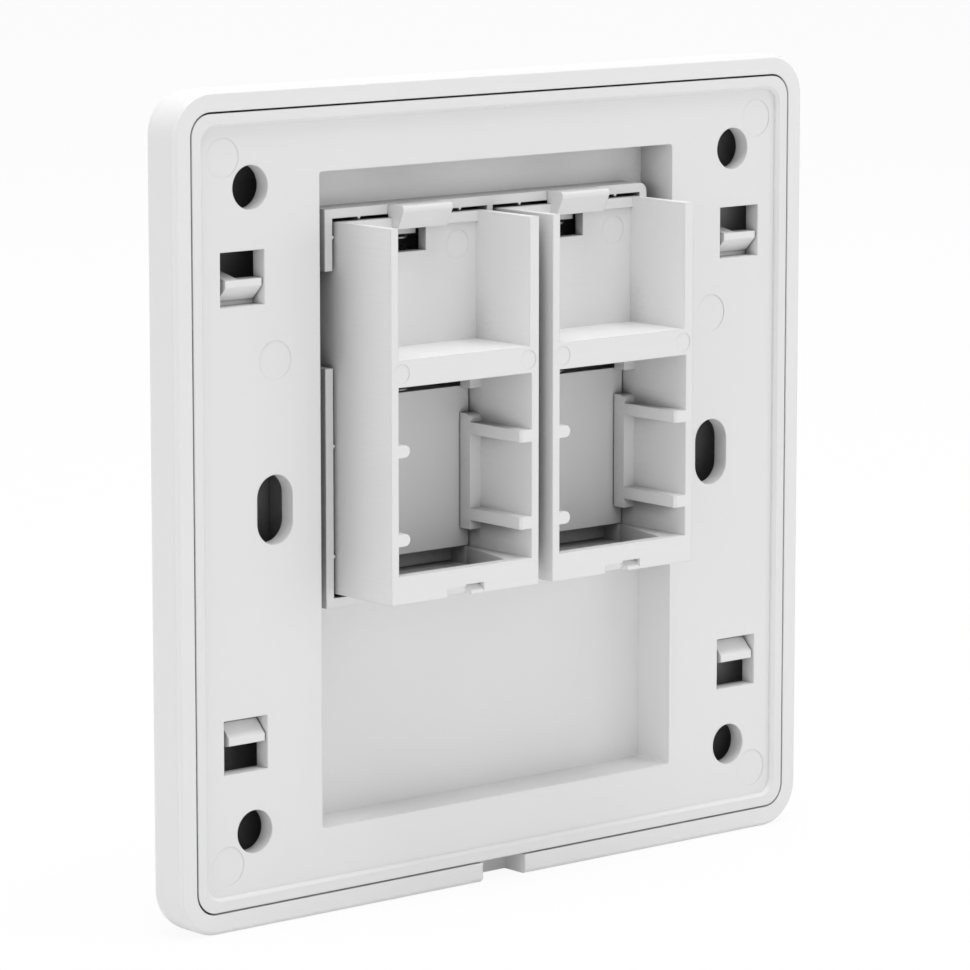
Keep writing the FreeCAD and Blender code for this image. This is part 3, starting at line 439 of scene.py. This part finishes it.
class FACEPLATE_OT_springs(bpy.types.Operator):
    """Wind the two shutter springs from round wire"""

    bl_idname = "faceplate.springs"
    bl_label = "Wind the springs"

    def execute(self, context):
        spring = context.scene.faceplate_spring
        material = drawn_wire("stainless_spring_wire", context.scene.faceplate_colours.wire)
        for side in SIDES:
            low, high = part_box(f"{side}_shutter_spring")
            middle = (low + high) / 2
            radius = (high.x - low.x) / 2 - spring.wire / 2
            closed_rise = spring.wire * CLOSED_LEAD
            open_rise = (high.z - low.z - spring.wire - 2 * closed_rise) / spring.active_turns
            bottom = low.z + spring.wire / 2
            runs = [
                wind_run(radius, (middle.x, middle.y, height), turns, rise, spring)
                for height, turns, rise in (
                    (bottom, 1, closed_rise),
                    (bottom + closed_rise, spring.active_turns, open_rise),
                    (high.z - spring.wire / 2 - closed_rise, 1, closed_rise),
                )
            ]
            coil = join_runs(runs)
            coil.name = f"{side}_shutter_coil"
            coil.data.materials.clear()
            coil.data.materials.append(material)
            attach(coil, "faceplate")
            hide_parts(f"{side}_shutter_spring")
            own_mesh(coil)
        return {"FINISHED"}


# The studio


def soft_lamp(name, place, target, size, power):
    """A large square lamp that faces a point."""
    bpy.ops.object.light_add(type="AREA", location=place)
    lamp = bpy.context.object
    lamp.name = name
    lamp.data.size = size
    lamp.data.energy = power
    lamp.rotation_euler = (target - place).to_track_quat("-Z", "Y").to_euler()


class FACEPLATE_OT_stage(bpy.types.Operator):
    """Set the floor, the white surroundings, the lamps and the camera"""

    bl_idname = "faceplate.stage"
    bl_label = "Set the studio"

    def execute(self, context):
        stage = context.scene.faceplate_stage
        low, high = cad_bounds
        middle = (low + high) / 2

        bpy.ops.object.select_all(action="DESELECT")
        bpy.ops.mesh.primitive_plane_add(size=FLOOR_SIZE, location=(0, 0, low.z - FLOOR_CLEARANCE))
        bpy.ops.object.transform_apply(location=True, rotation=False, scale=False)
        floor = context.object
        floor.name = "studio_floor"
        material, tree, output = new_material("matt_white_paper")
        # Plain white paper, lit to white where the camera sees it, and darker in the object's shadow.
        paper = add_node(tree, "ShaderNodeBsdfDiffuse", Color=(0.85, 0.85, 0.85, 1.0))
        glow = add_node(tree, "ShaderNodeEmission", Color=(1.0, 1.0, 1.0, 1.0), Strength=1.0)
        path = add_node(tree, "ShaderNodeLightPath")
        direct = add_node(
            tree, "ShaderNodeMath", {"operation": "MAXIMUM"}, i0=path.outputs["Is Camera Ray"],
            i1=path.outputs["Is Glossy Ray"])
        seen = add_node(
            tree, "ShaderNodeMath", {"operation": "MULTIPLY"}, i0=direct.outputs["Value"],
            i1=FLOOR_WHITE_SHARE)
        shown = add_node(
            tree, "ShaderNodeMixShader", Fac=seen.outputs["Value"], i1=paper.outputs["BSDF"],
            i2=glow.outputs["Emission"])
        tree.links.new(shown.outputs["Shader"], output.inputs["Surface"])
        floor.data.materials.append(material)

        world = bpy.data.worlds.new("white_studio")
        context.scene.world = world
        world.use_nodes = True
        tree = world.node_tree
        tree.nodes.clear()
        path = add_node(tree, "ShaderNodeLightPath")
        direct = path.outputs["Is Camera Ray"]
        for other in ("Is Glossy Ray", "Is Transmission Ray"):
            either = add_node(
                tree, "ShaderNodeMath", {"operation": "MAXIMUM"}, i0=direct, i1=path.outputs[other])
            direct = either.outputs["Value"]
        strength = add_node(
            tree, "ShaderNodeMapRange", Value=direct,
            **{"To Min": stage.sky_strength, "To Max": 1.0})
        sky = add_node(
            tree, "ShaderNodeBackground", Color=(1.0, 1.0, 1.0, 1.0), Strength=strength.outputs["Result"])
        output = add_node(tree, "ShaderNodeOutputWorld", Surface=sky.outputs["Background"])

        for name, (offset, size), power in (
            ("top_lamp", TOP_LAMP, stage.top_strength),
            ("left_lamp", LEFT_LAMP, stage.left_strength),
            ("right_lamp", RIGHT_LAMP, stage.right_strength),
        ):
            soft_lamp(name, middle + offset, middle, size, power)

        bpy.ops.object.camera_add(location=CAMERA_PLACE)
        camera = context.object
        camera.name = "camera"
        camera.rotation_euler = CAMERA_TURN
        camera.data.sensor_width = SENSOR_WIDTH
        camera.data.lens = stage.focal_length
        camera.data.clip_start = NEAREST_SEEN
        context.scene.camera = camera
        context.scene.view_settings.view_transform = "Standard"
        return {"FINISHED"}


class FACEPLATE_PT_sidebar(bpy.types.Panel):
    """Lists the sizes, the colours and the steps of the faceplate"""

    bl_label = "Faceplate"
    bl_idname = "FACEPLATE_PT_sidebar"
    bl_space_type = "VIEW_3D"
    bl_region_type = "UI"
    bl_category = "Faceplate"

    def draw(self, context):
        column = self.layout.column()
        for group in PROPERTY_GROUPS:
            settings = getattr(context.scene, group)
            for name in settings.__annotations__:
                column.prop(settings, name)
            column.separator()
        for operator in OPERATORS:
            column.operator(operator.bl_idname)


PROPERTY_GROUPS = {
    "faceplate_colours": FaceplateColours,
    "faceplate_surface": FaceplateSurface,
    "faceplate_spring": FaceplateSpring,
    "faceplate_stage": FaceplateStage,
}
OPERATORS = (
    FACEPLATE_OT_cover,
    FACEPLATE_OT_plate,
    FACEPLATE_OT_carriers,
    FACEPLATE_OT_bezels,
    FACEPLATE_OT_shutters,
    FACEPLATE_OT_springs,
    FACEPLATE_OT_stage,
)


def register():
    for name, group in PROPERTY_GROUPS.items():
        bpy.utils.register_class(group)
        setattr(bpy.types.Scene, name, PointerProperty(type=group))
    for cls in (*OPERATORS, FACEPLATE_PT_sidebar):
        bpy.utils.register_class(cls)


def unregister():
    for cls in reversed((*OPERATORS, FACEPLATE_PT_sidebar)):
        bpy.utils.unregister_class(cls)
    for name, group in reversed(PROPERTY_GROUPS.items()):
        delattr(bpy.types.Scene, name)
        bpy.utils.unregister_class(group)


def main():
    """Makes the whole scene."""
    register()
    bpy.ops.faceplate.cover()
    bpy.ops.faceplate.plate()
    bpy.ops.faceplate.carriers()
    bpy.ops.faceplate.bezels()
    bpy.ops.faceplate.shutters()
    bpy.ops.faceplate.springs()
    bpy.ops.faceplate.stage()


if __name__ == "__main__":
    main()
